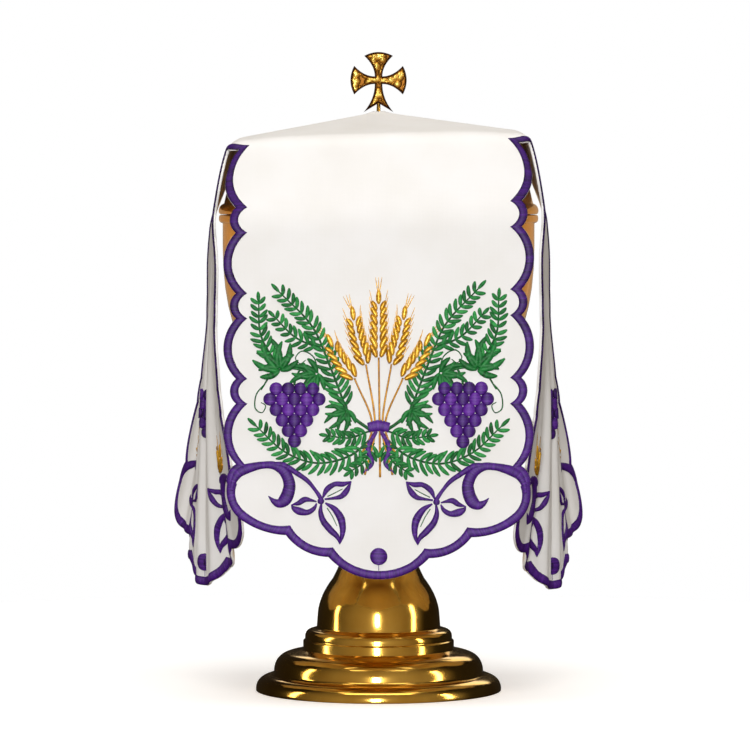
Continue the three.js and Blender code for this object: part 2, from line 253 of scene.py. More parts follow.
def outlinePoints(step):
    # points all round the cut edge, with the way inwards, the border's width and the corner each belongs to
    corners = wholeOutline()
    place, nextPlace = corners[:, :2], np.roll(corners[:, :2], -1, 0)
    chord = nextPlace - place
    length = np.linalg.norm(chord, axis=1)
    inward = np.stack([-chord[:, 1], chord[:, 0]], -1) / length[:, None]
    mitre = inward + np.roll(inward, 1, 0)
    mitre /= np.linalg.norm(mitre, axis=1, keepdims=True)
    points, ways, widths, owners = [], [], [], []
    for i in range(len(corners)):
        after = (i + 1) % len(corners)
        share = np.arange(0, 1, 1 / max(4, round(length[i] * edgeShape["arcLonger"] / step)))
        share = share[share < 1 - 1e-9]
        way = mitre[i] * (1 - share)[:, None] + mitre[after] * share[:, None]
        end = np.where(share < 0.5, corners[i, 3], corners[after, 3])
        middle = min(edgeShape["middleWidth"], corners[i, 3], corners[after, 3])
        points.append(arcPoints(place[i], nextPlace[i], corners[i, 2], share))
        ways.append(way / np.linalg.norm(way, axis=1, keepdims=True))
        widths.append(middle + (end - middle) * (1 - 2 * share) ** 2)
        owners.append(np.full(len(share), i))
    return np.vstack(points), np.vstack(ways), np.concatenate(widths), np.concatenate(owners)


# Meshes
def makePiece(name, points, faces, material, uv=None, tint=None, replaces=()):
    # points in mm become a mesh at the origin, in metres, that rides on the part's one body
    mesh = bpy.data.meshes.new(name)
    mesh.from_pydata((np.asarray(points) * mm).tolist(), [], [list(f) for f in faces])
    mesh.polygons.foreach_set("use_smooth", np.ones(len(mesh.polygons), bool))
    if uv is not None:
        corner = np.empty(len(mesh.loops), int)
        mesh.loops.foreach_get("vertex_index", corner)
        layer = mesh.uv_layers.new(name="flat")
        layer.data.foreach_set("uv", np.asarray(uv, np.float32)[corner].ravel())
    if tint is not None:
        attribute = mesh.attributes.new("tint", "FLOAT", "POINT")
        attribute.data.foreach_set("value", np.asarray(tint, np.float32))
    mesh.materials.append(material)
    mesh.update()
    piece = bpy.data.objects.new(name, mesh)
    bpy.context.scene.collection.objects.link(piece)
    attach(piece, "root")
    if replaces:
        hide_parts(*replaces)
    return piece


def grid(rows, columns, start=0):
    # quads between neighbouring rows of vertices, with the corners counter-clockwise when rows go down
    i = start + np.arange(rows * columns).reshape(rows, columns)
    return np.stack([i[1:, :-1], i[1:, 1:], i[:-1, 1:], i[:-1, :-1]], -1).reshape(-1, 4)


def merged(points, faces):
    # the same places become one vertex
    unique, first, index = np.unique(np.round(points, 4), axis=0, return_index=True, return_inverse=True)
    return points[first], index.reshape(-1)[faces]


def rimEdges(faces, count):
    # the starts and ends of edges that only one face has
    a, b = faces.reshape(-1), np.roll(faces, -1, 1).reshape(-1)
    isRim = ~np.isin(a * count + b, b * count + a)
    return a[isRim], b[isRim]


def closedSheet(flat, faces, thickness, rimOut):
    # a sheet with thickness: outer and inner face, and a rim whose ridge stands rimOut outside the cut edge
    count = len(flat)
    a, b = rimEdges(faces, count)
    way = flat[b] - flat[a]
    outward = np.zeros_like(flat)
    np.add.at(outward, a, np.stack([way[:, 1], -way[:, 0]], -1))
    np.add.at(outward, b, np.stack([way[:, 1], -way[:, 0]], -1))
    rim = np.unique(a)
    ridge = np.zeros(count, int)
    ridge[rim] = 2 * count + np.arange(len(rim))
    outward = outward[rim] / np.linalg.norm(outward[rim], axis=1, keepdims=True)
    ridgeFlat = flat[rim] + outward * rimOut
    points = np.vstack([
        onCloth(flat, np.full(count, thickness / 2)),
        onCloth(flat, np.full(count, -thickness / 2)),
        onCloth(ridgeFlat, np.zeros(len(rim))),
    ])
    outerRim = np.stack([b, a, ridge[a], ridge[b]], -1)
    innerRim = np.stack([ridge[b], ridge[a], a + count, b + count], -1)
    allFaces = np.vstack([faces, faces[:, ::-1] + count, outerRim, innerRim])
    return points, allFaces, np.vstack([flat, flat, ridgeFlat])


# Materials
def fill(tree, node, **settings):
    # a setting with an input's name fills that input or feeds it from a socket; others set the node itself
    for key, value in settings.items():
        label = key.replace("_", " ")
        if label not in node.inputs:
            setattr(node, key, value)
        elif isinstance(value, bpy.types.NodeSocket):
            tree.links.new(value, node.inputs[label])
        else:
            node.inputs[label].default_value = value
    return node


def addNode(tree, kind, **settings):
    return fill(tree, tree.nodes.new(kind), **settings)


def nodeMaterial(name, **settings):
    material = bpy.data.materials.new(name)
    material.use_nodes = True
    tree = material.node_tree
    return material, tree, fill(tree, tree.nodes["Principled BSDF"], **settings)


def rampNode(tree, stops, source):
    node = addNode(tree, "ShaderNodeValToRGB", Fac=source)
    elements = node.color_ramp.elements
    while len(elements) < len(stops):
        elements.new(0.5)
    for element, (position, colour) in zip(elements, stops):
        element.position = position
        element.color = (*colour, 1)
    return node.outputs["Color"]


def reliefNode(tree, height, strength, depth):
    bump = addNode(tree, "ShaderNodeBump", Height=height, Strength=strength, Distance=depth * mm)
    return bump.outputs["Normal"]


clothLook = {
    "white": (0.89, 0.875, 0.86),
    "shade": (0.85, 0.83, 0.80),
    "threadPitch": 0.55,  # mm
    "weaveDepth": 0.06,
    "weaveStrength": 0.35,
    "cloudScale": 0.03,  # of the slow drift from shade to white
    "roughness": 0.85,
    "gloss": 0.2,
}


def clothMaterial():
    # a plain weave in relief: two wave patterns across each other, with 20 / 2 pi bands to a unit of scale
    look = clothLook
    material, tree, shader = nodeMaterial("cloth", Roughness=look["roughness"],
                                          Specular_IOR_Level=look["gloss"])
    place = addNode(tree, "ShaderNodeUVMap", uv_map="flat").outputs["UV"]
    waveScale = 2 * math.pi / look["threadPitch"] / 20
    weave = addNode(tree, "ShaderNodeMath", operation="MULTIPLY")
    for i, direction in enumerate("XY"):
        wave = addNode(tree, "ShaderNodeTexWave", wave_type="BANDS", bands_direction=direction, Vector=place,
                       Scale=waveScale, Distortion=1.2, Detail=1.0, Detail_Scale=0.6)
        tree.links.new(wave.outputs["Fac"], weave.inputs[i])
    cloudy = addNode(tree, "ShaderNodeTexNoise", Vector=place, Scale=look["cloudScale"], Detail=3.0)
    colour = rampNode(tree, [(0.3, look["shade"]), (0.62, look["white"])], cloudy.outputs["Fac"])
    normal = reliefNode(tree, weave.outputs[0], look["weaveStrength"], look["weaveDepth"])
    fill(tree, shader, Base_Color=colour, Normal=normal)
    return material


# Thread: the colour stops are for tints from dark to light
threadLook = {
    "purple": [(0.1, (0.007, 0.001, 0.018)), (0.5, (0.06, 0.007, 0.19)), (1.0, (0.19, 0.035, 0.45))],
    "green": [(0.1, (0.001, 0.03, 0.006)), (0.5, (0.006, 0.17, 0.028)), (1.0, (0.05, 0.42, 0.09))],
    "gold": [(0.1, (0.16, 0.05, 0.004)), (0.5, (0.62, 0.31, 0.02)), (1.0, (0.95, 0.66, 0.12))],
    "gloss": 0.22,
    "strandScale": (9.0, 1.2, 1.0),  # along the band, so across the strands, and along them
    "strandShare": 0.8,  # how much the strands change the colour
    "lowered": 0.15,
    "reliefDepth": 0.05,  # mm
    "reliefStrength": 0.25,
}


def threadMaterial(name, stops, roughness=0.46, metallic=0.0):
    # the colour runs through the stops by each stitch's tint and by the strands, a noise drawn out along them
    look = threadLook
    material, tree, shader = nodeMaterial(name, Roughness=roughness, Metallic=metallic,
                                          Specular_IOR_Level=look["gloss"])
    tint = addNode(tree, "ShaderNodeAttribute", attribute_name="tint")
    place = addNode(tree, "ShaderNodeUVMap", uv_map="flat")
    stretch = addNode(tree, "ShaderNodeMapping", Vector=place.outputs["UV"], Scale=look["strandScale"])
    strands = addNode(tree, "ShaderNodeTexNoise", Vector=stretch.outputs["Vector"], Scale=1.0, Detail=2.0)
    mixed = addNode(tree, "ShaderNodeMath", operation="MULTIPLY_ADD")
    tree.links.new(strands.outputs["Fac"], mixed.inputs[0])
    mixed.inputs[1].default_value = look["strandShare"]
    tree.links.new(tint.outputs["Fac"], mixed.inputs[2])
    lowered = addNode(tree, "ShaderNodeMath", operation="SUBTRACT")
    tree.links.new(mixed.outputs[0], lowered.inputs[0])
    lowered.inputs[1].default_value = look["lowered"]
    colour = rampNode(tree, stops, lowered.outputs[0])
    normal = reliefNode(tree, strands.outputs["Fac"], look["reliefStrength"], look["reliefDepth"])
    fill(tree, shader, Base_Color=colour, Normal=normal)
    return material


# Metal: colour stops, roughness from and to, scale of the grain and its depth in mm
brassLook = {
    "stops": [(0.3, (0.70, 0.37, 0.05)), (0.7, (0.86, 0.52, 0.10))],
    "roughness": (0.09, 0.16),
    "grainScale": 900.0,
    "grainDepth": 0.02,
}
giltLook = {
    "stops": [(0.08, (0.02, 0.006, 0.002)), (0.5, (0.46, 0.19, 0.02)), (0.9, (1.0, 0.7, 0.16))],
    "roughness": (0.28, 0.42),
    "grainScale": 1400.0,
    "grainDepth": 0.02,
}
# How gloss changes over a surface: scale of the noise, and the values of it that give least and most gloss
metalDrift = {"scale": 60.0, "low": 0.3, "high": 0.7, "reliefStrength": 0.3}


def metalMaterial(name, look, byTint=False):
    # colour and gloss drift a little over the surface, with a fine grain in relief. With byTint the colour
    # follows the mesh's own tint, dark in its recesses, and with the painted shade and painted shadow that
    # tint holds
    material, tree, shader = nodeMaterial(name, Metallic=1.0)
    place = addNode(tree, "ShaderNodeTexCoord").outputs["Object"]
    drift = addNode(tree, "ShaderNodeTexNoise", Vector=place, Scale=metalDrift["scale"], Detail=4.0)
    tint = addNode(tree, "ShaderNodeAttribute", attribute_name="tint") if byTint else drift
    colour = rampNode(tree, look["stops"], tint.outputs["Fac"])
    gloss = addNode(tree, "ShaderNodeMapRange", Value=drift.outputs["Fac"], From_Min=metalDrift["low"],
                    From_Max=metalDrift["high"], To_Min=look["roughness"][0], To_Max=look["roughness"][1])
    fine = addNode(tree, "ShaderNodeTexNoise", Vector=place, Scale=look["grainScale"], Detail=2.0)
    normal = reliefNode(tree, fine.outputs["Fac"], metalDrift["reliefStrength"], look["grainDepth"])
    fill(tree, shader, Base_Color=colour, Roughness=gloss.outputs["Result"], Normal=normal)
    return material


clothFinish = clothMaterial()
purpleThread = threadMaterial("purple_thread", threadLook["purple"])
greenThread = threadMaterial("green_thread", threadLook["green"])
goldThread = threadMaterial("gold_thread", threadLook["gold"], roughness=0.32, metallic=0.35)
brassFinish = metalMaterial("polished_brass", brassLook)
giltFinish = metalMaterial("cast_gilt", giltLook, byTint=True)
print("materials made")


# The cloth
sheetShape = {
    "columns": 72,  # of quads across an arm
    "edgeStep": 1.9,  # mm between rows
    "rimOut": 0.15,  # how far the rim's ridge stands out
    "shoulder": 60.8,  # where the square rings of the shoulder end
    "shoulderRings": 9,
    "innerRings": 26,
    "innerCrowding": 1.25,  # above 1, rings are closer together at the hole
}


def topRings(loop):
    # loops of vertices on the top: square at the shoulder, turning into circles at the hole
    s, hole = sheetShape, drapeShape["hole"]
    shoulder = np.linspace(drapeShape["firstNotch"], s["shoulder"], s["shoulderRings"])
    inner = hole + (shoulder[-1] - hole) * np.linspace(1, 0, s["innerRings"])[1:] ** s["innerCrowding"]
    rings = []
    for reach in np.concatenate([shoulder, inner]):
        square = min(1, (reach - hole) / (shoulder[-1] - hole))
        circle = loop / np.linalg.norm(loop, axis=1, keepdims=True) * reach
        rings.append(circle + (loop * reach / drapeShape["firstNotch"] - circle) * square)
    return np.array(rings)


def clothFlat():
    # the flat cloth: strips across each arm between its two cut edges, and rings on the top
    s = sheetShape
    points, _, _, owner = outlinePoints(s["edgeStep"])
    perArm = len(wholeOutline()) // len(arms)
    sideArcs = len(sideCorners()) - 1
    leftEdge = points[owner < sideArcs]
    cornerScallop = points[owner == perArm - 1]
    across = np.linspace(-1, 1, s["columns"] + 1)
    down = np.outer(leftEdge[:, 1], np.ones_like(across))
    armFlat = np.stack([np.outer(-leftEdge[:, 0], across), down], -1)
    loopPart = np.vstack([armFlat[0], cornerScallop[1:]])
    loop = np.vstack([turned(loopPart, arm["turn"] + 90) for arm in arms])
    rings = topRings(loop)
    rings = np.concatenate([rings, rings[:, :1]], 1)
    flats = [rings.reshape(-1, 2)]
    faces = [grid(*rings.shape[:2])[:, [2, 1, 0, 3]]]  # the other way round, as these rows go inwards
    start = rings[..., 0].size
    for arm in arms:
        flats.append(turned(armFlat.reshape(-1, 2), arm["turn"] + 90))
        faces.append(grid(*armFlat.shape[:2], start))
        start += armFlat[..., 0].size
    return merged(np.vstack(flats), np.vstack(faces))


flatPoints, flatFaces = clothFlat()
sheetPoints, sheetFaces, sheetUv = closedSheet(flatPoints, flatFaces, drapeShape["thickness"],
                                               sheetShape["rimOut"])
veil = makePiece("veil_cloth", sheetPoints, sheetFaces, clothFinish, uv=sheetUv, replaces=["veil"])


# Embroidery
stitchShape = {
    "step": 0.3,  # mm along the work, half a stitch
    "ridge": 0.16,  # how much lower the groove between two stitches lies, as a share of the crown
    "section": 7,  # points across a band of stitches
    "fineStep": 0.42,  # the same two for work with many small leaves or grains
    "fineSection": 5,
    "sunk": 0.25,  # how deep the stitches' foot lies below the cloth's surface
    "fullWidth": 1.6,  # a band narrower than this is lower
    "uneven": 0.07,  # spread of the stitches' tints
    "paintedEdgeShade": 0.22,  # painted shade: how much darker the colour is at the edges of a band
    "seed": 7,
}
chance = np.random.default_rng(stitchShape["seed"])


def runAlong(line):
    # the distance run at each point of a line
    return np.append(0, np.cumsum(np.linalg.norm(np.diff(line, axis=0), axis=1)))


def throughRows(rows, step):
    # a smooth line through the rows of a table, a Catmull-Rom curve, with points every step mm: x, y, width
    rows = np.asarray(rows, float)
    padded = np.vstack([2 * rows[0] - rows[1], rows, 2 * rows[-1] - rows[-2]])
    t = np.linspace(0, len(rows) - 1, 24 * (len(rows) - 1) + 1)
    i = np.minimum(t.astype(int), len(rows) - 2)
    f = (t - i)[:, None]
    a, b, c, d = padded[i], padded[i + 1], padded[i + 2], padded[i + 3]
    square, cube = 2 * a - 5 * b + 4 * c - d, 3 * b - a - 3 * c + d
    line = 0.5 * (2 * b + (c - a) * f + square * f ** 2 + cube * f ** 3)
    run = runAlong(line[:, :2])
    wanted = np.linspace(0, run[-1], max(4, round(run[-1] / step)) + 1)
    return np.stack([np.interp(wanted, run, line[:, k]) for k in range(line.shape[1])], -1)


class Needlework:
    # bands of satin stitch gathered on the flat cloth, and laid on the draped one when all are there
    def __init__(self, step=stitchShape["step"], section=stitchShape["section"]):
        self.step, self.section = step, section
        self.flat, self.height, self.uv, self.tint, self.faces, self.count = [], [], [], [], [], 0

    def addRings(self, flat, height, uv, tint, isLoop):
        # rings of vertices along a band: each ring goes over the top and back underneath
        n, m = flat.shape[:2]
        i = self.count + np.arange(n * m).reshape(n, m)
        j = np.roll(i, -1, 0) if isLoop else i[1:]
        k = i if isLoop else i[:-1]
        sides = np.stack([k, j, np.roll(j, -1, 1), np.roll(k, -1, 1)], -1).reshape(-1, 4)
        self.faces += sides.tolist()
        if not isLoop:
            self.faces += [i[0].tolist(), i[-1][::-1].tolist()]
        for store, values in ((self.flat, flat), (self.uv, uv)):
            store.append(values.reshape(-1, 2))
        for store, values in ((self.height, height), (self.tint, tint)):
            store.append(values.reshape(-1))
        self.count += n * m

    def addBand(self, inner, outer, crown, isLoop=False, tint=0.25):
        # a band between two edges: its top is half an ellipse, lower between stitches, and its foot is sunk
        s = stitchShape
        n, top = len(inner), self.section
        v = np.cos(np.linspace(0, np.pi, top))
        share = np.concatenate([(v + 1) / 2, [0, 1]])
        flat = inner[:, None] + (outer - inner)[:, None] * share[None, :, None]
        width = np.linalg.norm(outer - inner, axis=1)
        groove = 1 - s["ridge"] * (np.arange(n) % 2)
        full = crown * np.minimum(1, (width / s["fullWidth"]) ** 0.7) * groove
        surface = drapeShape["thickness"] / 2
        over = full[:, None] * np.sqrt(1 - v * v)
        height = surface + np.concatenate([over, np.full((n, 2), -s["sunk"])], 1)
        run = runAlong((inner + outer) / 2)
        uv = np.stack(np.broadcast_arrays(run[:, None], width[:, None] * share), -1)
        stitch = np.repeat(chance.normal(0, s["uneven"], n // 2 + 1), 2)[:n]
        # painted shade: the tint falls towards both edges of each band, where it dips into the cloth
        paintedEdgeShade = s["paintedEdgeShade"] * np.abs(2 * share - 1) ** 3
        tints = (np.asarray(tint) + stitch)[:, None] - paintedEdgeShade
        self.addRings(flat, height, uv, tints, isLoop)

    def addStroke(self, rows, crown=0.8, tint=0.25):
        # a stroke of satin stitch along a smooth line, as wide as the third column says
        line = throughRows(rows, self.step)
        way = np.gradient(line[:, :2], axis=0)
        way /= np.linalg.norm(way, axis=1, keepdims=True)
        side = np.stack([-way[:, 1], way[:, 0]], -1) * np.maximum(line[:, 2:3], 0.12) / 2
        self.addBand(line[:, :2] + side, line[:, :2] - side, crown, tint=tint)

    def addPetal(self, base, angle, length, width, crown=0.7, tint=0.25, bend=0.0, blunt=0.5):
        # a pointed leaf or grain: its width follows a sine along it, and it bends sideways
        t = np.linspace(0, 1, 7)
        a = math.radians(angle)
        along = np.array([math.sin(a), math.cos(a)])
        side = np.array([along[1], -along[0]])
        offset = bend * length * np.sin(np.pi * t)
        place = base + np.outer(t * length, along) + np.outer(offset, side)
        wide = width * np.sin(np.pi * (0.04 + 0.93 * t)) ** blunt
        self.addStroke(np.column_stack([place, wide]), crown, tint)

    def addDisc(self, centre, radius, crown=0.8, tint=0.25):
        # a dot of satin stitch: a stroke along its diameter, as wide as the circle there
        t = np.cos(np.linspace(np.pi, 0, 13))
        width = 2 * radius * np.sqrt(1 - t * t)
        rows = np.column_stack([np.full(len(t), centre[0]), centre[1] + radius * t, width])
        self.addStroke(rows, crown, tint)

    def mirrored(self):
        # the same work on the other side of the arm's middle line
        self.flat += [values * [-1, 1] for values in self.flat]
        self.height *= 2
        self.uv *= 2
        self.tint *= 2
        self.faces += [[v + self.count for v in reversed(face)] for face in self.faces]
        self.count *= 2

    def onArms(self, names=("front", "right", "back", "left")):
        flat, faces = np.vstack(self.flat), self.faces
        chosen = [arm for arm in arms if arm["name"] in names]
        self.flat = [turned(flat, arm["turn"] + 90) for arm in chosen]
        self.height *= len(chosen)
        self.uv *= len(chosen)
        self.tint *= len(chosen)
        self.faces = [[v + k * self.count for v in face] for k in range(len(chosen)) for face in faces]
        self.count *= len(chosen)

    def lay(self, name, material, slot):
        points = onCloth(np.vstack(self.flat), np.concatenate(self.height))
        uv, tint = np.vstack(self.uv), np.concatenate(self.tint)
        piece = makePiece(name, points, self.faces, material, uv=uv, tint=tint)
        print(name, "made:", sum(len(f) - 2 for f in self.faces), "triangles")
        return piece


def borderWork():
    # the satin border covers the cut edge all round, deepens to a point at each notch, and is darker high up
    # as painted shade
    work = Needlework()
    edge, inward, width, _ = outlinePoints(stitchShape["step"])
    outer = edge + inward * edgeShape["margin"]
    inner = edge + inward * (edgeShape["margin"] + width[:, None])
    even = len(edge) // 2 * 2
    along = np.abs(edge).max(1)[:even]
    # painted shade: the border's tint is lower towards the top of the cloth
    tint = 0.28 - 0.16 * (1 - smooth(along, 130, 225))
    work.addBand(inner[:even], outer[:even], 0.65, isLoop=True, tint=tint)
    return work


# Strokes of the scrollwork on an arm's right half: across, along and width in mm
scrollStrokes = {
    "scroll": [
        (63.7, 220.5, 1.6), (63.2, 216.6, 3.0), (61.1, 212.9, 4.2), (57.8, 211.0, 4.4), (54.3, 209.9, 3.8),
        (50.2, 209.1, 3.2), (45.5, 209.2, 3.6), (41.1, 211.7, 4.7), (38.8, 216.5, 5.1), (39.1, 220.7, 5.5),
        (40.7, 224.2, 5.5), (43.2, 225.7, 4.2), (45.5, 224.9, 2.5), (47.9, 222.6, 0.3),
    ],
    "stem": [
        (47.0, 208.4, 1.4), (42.5, 208.8, 2.6), (40.0, 209.6, 2.6), (35.3, 212.6, 2.3), (31.1, 215.6, 2.0),
        (27.9, 219.3, 1.6), (25.1, 223.5, 1.9), (24.5, 225.5, 1.4),
    ],
    "high leaf, upper side": [
        (24.4, 223.5, 0.6), (22.5, 219.6, 2.4), (19.1, 217.2, 2.2), (15.3, 217.1, 2.2), (11.9, 215.9, 0.4),
    ],
    "high leaf, lower side": [
        (23.5, 223.8, 0.8), (19.5, 223.3, 1.4), (16.3, 222.5, 2.3), (13.9, 220.0, 2.5), (11.9, 215.9, 0.4),
    ],
    "low leaf, outer side": [
        (24.9, 225.8, 0.8), (25.2, 229.6, 2.1), (23.9, 233.5, 2.8), (20.9, 237.2, 2.9), (17.9, 240.2, 2.1),
        (16.9, 243.4, 0.3),
    ],
    "low leaf, inner side": [
        (23.2, 225.4, 0.8), (19.3, 227.9, 2.5), (16.5, 231.9, 3.4), (15.6, 236.1, 2.8), (15.9, 239.8, 1.9),
        (16.9, 243.4, 0.3),
    ],
    "small leaf, upper side": [
        (26.9, 224.9, 0.6), (29.3, 224.3, 1.4), (32.1, 224.0, 2.5), (34.8, 225.6, 2.1), (37.9, 226.4, 0.3),
    ],
    "small leaf, lower side": [
        (26.9, 225.6, 0.6), (28.3, 228.1, 1.9), (31.1, 229.6, 2.5), (34.4, 229.1, 3.4), (36.7, 227.9, 2.3),
        (37.9, 226.4, 0.3),
    ],
}
scrollDots = {"joint": (25.1, 224.6, 1.5), "dot": (0.0, 248.5, 3.8)}
veins = [
    [(22.2, 222.6, 0.45), (19.0, 221.0, 0.45), (15.6, 219.2, 0.35)],
    [(22.4, 227.6, 0.45), (20.2, 231.0, 0.45), (18.1, 235.4, 0.35)],
]


def downwards(rows):
    # across and along become x and y
    return [(across, -along, width) for across, along, width in rows]


def scrollWork():
    work = Needlework()
    for rows in scrollStrokes.values():
        work.addStroke(downwards(rows), crown=0.85)
    across, along, radius = scrollDots["joint"]
    work.addDisc((across, -along), radius, crown=1.0)
    work.mirrored()
    across, along, radius = scrollDots["dot"]
    work.addDisc((across, -along), radius, crown=0.9)
    work.addStroke(downwards([(0, 250.9, 0.3), (0, 252.6, 0.25), (0, 254.6, 0.3)]), crown=0.3)
    work.onArms()
    return work


# The design on the panel: ears of wheat tied in a sheaf, with grapes and leafy sprays on each side.
# Places are across the arm and above the panel's middle, in mm, for the right half.
panel = {
    "middle": 170.0,  # its distance along the arm
    "ears": [
        {"base": (0, 8), "angle": 0, "pairs": 7, "bend": 0.0},
        {"base": (5.5, 5), "angle": 20, "pairs": 6, "bend": -0.05},
        {"base": (10.5, -1), "angle": 42, "pairs": 5, "bend": -0.08},
    ],
    "stalks": [
        [(0.6, -44, 1.0), (0.4, -22, 0.9), (0, 8, 0.8)],
        [(6.0, -43, 1.0), (1.6, -22, 0.9), (5.5, 5, 0.8)],
        [(11.0, -40, 1.0), (2.8, -22, 0.9), (10.5, -1, 0.8)],
    ],
    "grapes": {
        "top": (36.5, -5.5),
        "rows": [4, 5, 4, 3, 2, 1],
        "radius": 2.9,
        "across": 5.3,
        "down": 4.6,
        "crown": 1.2,
        "tintSpan": 0.4,
    },
    "vine": [(3.0, -24, 1.3), (12, -17, 1.5), (22, -4, 1.4), (34, 3, 1.2), (45, 2, 1.0), (51, -6, 0.6)],
    "bunchStem": [(34, 3, 1.0), (36, -1, 1.0), (36.5, -4, 1.0)],
    "tendrils": [
        [(26, 0, 0.6), (28, 8, 0.6), (33, 11, 0.6), (36, 8, 0.5), (34, 5.5, 0.5), (31.6, 7, 0.4)],
        [(49, -3, 0.6), (53, -8, 0.6), (53.5, -14, 0.6), (50.5, -16, 0.5), (49, -13, 0.5), (51, -11.5, 0.4)],
    ],
    "vineLeaves": [
        {"base": (27, 1), "angle": 118, "size": 12.5},
        {"base": (43, 3), "angle": 24, "size": 14.5},
        {"base": (14, -15), "angle": 128, "size": 11.0},
    ],
    "sprays": [
        {
            "line": [(3, -27, 1.0), (13, -35, 1.0), (27, -38, 0.9), (41, -33, 0.8), (53, -22, 0.6)],
            "leaf": 7.4,
            "pairs": 19,
        },
        {"line": [(12, -20, 1.0), (21, 4, 1.0), (29, 22, 0.9), (43, 37, 0.6)], "leaf": 7.2, "pairs": 21},
        {"line": [(2, -29, 1.0), (6, -37, 0.9), (12, -41.5, 0.6)], "leaf": 5.6, "pairs": 7},
        {"line": [(44, 5, 0.9), (51, 18, 0.9), (52, 33, 0.6)], "leaf": 6.2, "pairs": 10},
        {"line": [(4, -24, 0.9), (13, -27, 0.9), (22, -26, 0.6)], "leaf": 5.6, "pairs": 8},
        {"line": [(25, 12, 0.9), (36, 17, 0.9), (45, 26, 0.6)], "leaf": 5.8, "pairs": 8},
    ],
    "tie": [(-4.6, -22.5, 4.4), (0, -21.6, 5.0), (4.6, -22.5, 4.4)],
    "tieTails": [(1.0, -24, 1.6), (4.5, -31, 2.4), (3.0, -38, 2.0), (7.0, -42.5, 0.4)],
}


earShape = {
    "grain": (6.2, 2.7, 3.7),  # length, width, and pitch along the ear
    "grainLean": 27,  # from the ear, in degrees
    "grainOut": 0.9,  # a grain's foot from the middle of the ear
    "topShrink": 0.25,  # how much smaller the grains are at the top
    "bendDegrees": 240,  # what a bend of 1 is
    "awn": 9.0,
    "awnLean": 0.47,  # in radians
    "awnWidths": (0.35, 0.4),  # on a grain, and beyond the top
    "awnSpread": 9,  # between those at the top, in degrees
}
sprayShape = {
    "leafWidth": 1.85,
    "endLeafWidth": 1.7,
    "endLeaf": 0.7,  # its length, as a share of the others'
    "shrink": 0.35,  # how much smaller the leaves are at the spray's end
    "lean": 42,  # degrees
    "leanSpread": 12,
}


def onPanel(rows):
    # panel places become flat ones
    return [(x, y - panel["middle"], *rest) for x, y, *rest in rows]


def addEar(work, ear, stalk):
    # a stalk, grains in pairs that lean out from it, one at its top, and awns beyond
    e = earShape
    length, width, pitch = e["grain"]
    work.addStroke(onPanel(stalk), crown=0.5, tint=0.1)
    base = np.array(onPanel([ear["base"]])[0])
    for pair in range(ear["pairs"] + 1):
        turn = ear["angle"] + e["bendDegrees"] * ear["bend"] * pair / ear["pairs"]
        a = math.radians(turn)
        along = np.array([math.sin(a), math.cos(a)])
        side = np.array([along[1], -along[0]])
        shrink = 1 - e["topShrink"] * pair / ear["pairs"]
        tint = 0.2 + 0.16 * (pair % 2)
        if pair == ear["pairs"]:
            work.addPetal(base, turn, length, width * 0.9, crown=1.0, tint=0.35)
        else:
            for hand in (-1, 1):
                start = base + side * hand * e["grainOut"]
                heading = turn + hand * e["grainLean"]
                size = length * shrink, width * shrink
                work.addPetal(start, heading, *size, crown=1.0, tint=tint, bend=-0.05 * hand)
                lean = a + hand * e["awnLean"]
                tip = start + (length * shrink - 0.6) * np.array([math.sin(lean), math.cos(lean)])
                work.addPetal(tip, turn + hand * 12, e["awn"] * 0.6, e["awnWidths"][0], crown=0.25, tint=0.3)
        base = base + along * pitch * shrink
    for hand in (-1, 0, 1):
        heading = ear["angle"] + hand * e["awnSpread"]
        work.addPetal(base, heading, e["awn"], e["awnWidths"][1], crown=0.3, tint=0.35)


def wheatWork():
    # the middle ear alone, and the others on both sides
    work = Needlework(stitchShape["fineStep"], stitchShape["fineSection"])
    for ear, stalk in zip(panel["ears"][1:], panel["stalks"][1:]):
        addEar(work, ear, stalk)
    work.mirrored()
    addEar(work, panel["ears"][0], panel["stalks"][0])
    work.onArms(("front", "back"))
    return work


def addBunch(work, g):
    # rows of round berries that narrow downwards
    for row, many in enumerate(g["rows"]):
        for i in range(many):
            place = (g["top"][0] + (i - (many - 1) / 2) * g["across"], g["top"][1] - row * g["down"])
            tint = 0.1 + g["tintSpan"] * chance.random()
            work.addDisc(onPanel([place])[0], g["radius"], g["crown"], tint)


def grapeWork():
    # the bunches, and the ribbon round the sheaf
    work = Needlework()
    addBunch(work, panel["grapes"])
    work.addStroke(onPanel(panel["tieTails"]), crown=0.6, tint=0.3)
    work.mirrored()
    work.addStroke(onPanel(panel["tie"]), crown=0.9, tint=0.35)
    work.onArms(("front", "back"))
    return work


def vineLeaf(work, base, angle, size):
    # five lobes fanned out from the stalk, each in two bands of stitches that meet at its vein
    for lobe, share in ((-78, 0.62), (-38, 0.85), (0, 1.0), (38, 0.85), (78, 0.62)):
        for hand in (-1, 1):
            a = math.radians(angle + lobe)
            side = np.array([math.cos(a), -math.sin(a)]) * hand
            start = np.array(base) + side * size * 0.05
            tint = 0.12 + 0.1 * (hand > 0) + 0.08 * chance.random()
            heading = angle + lobe + hand * 5
            work.addPetal(start, heading, size * share, size * 0.2, tint=tint, bend=0.1 * hand, blunt=0.6)


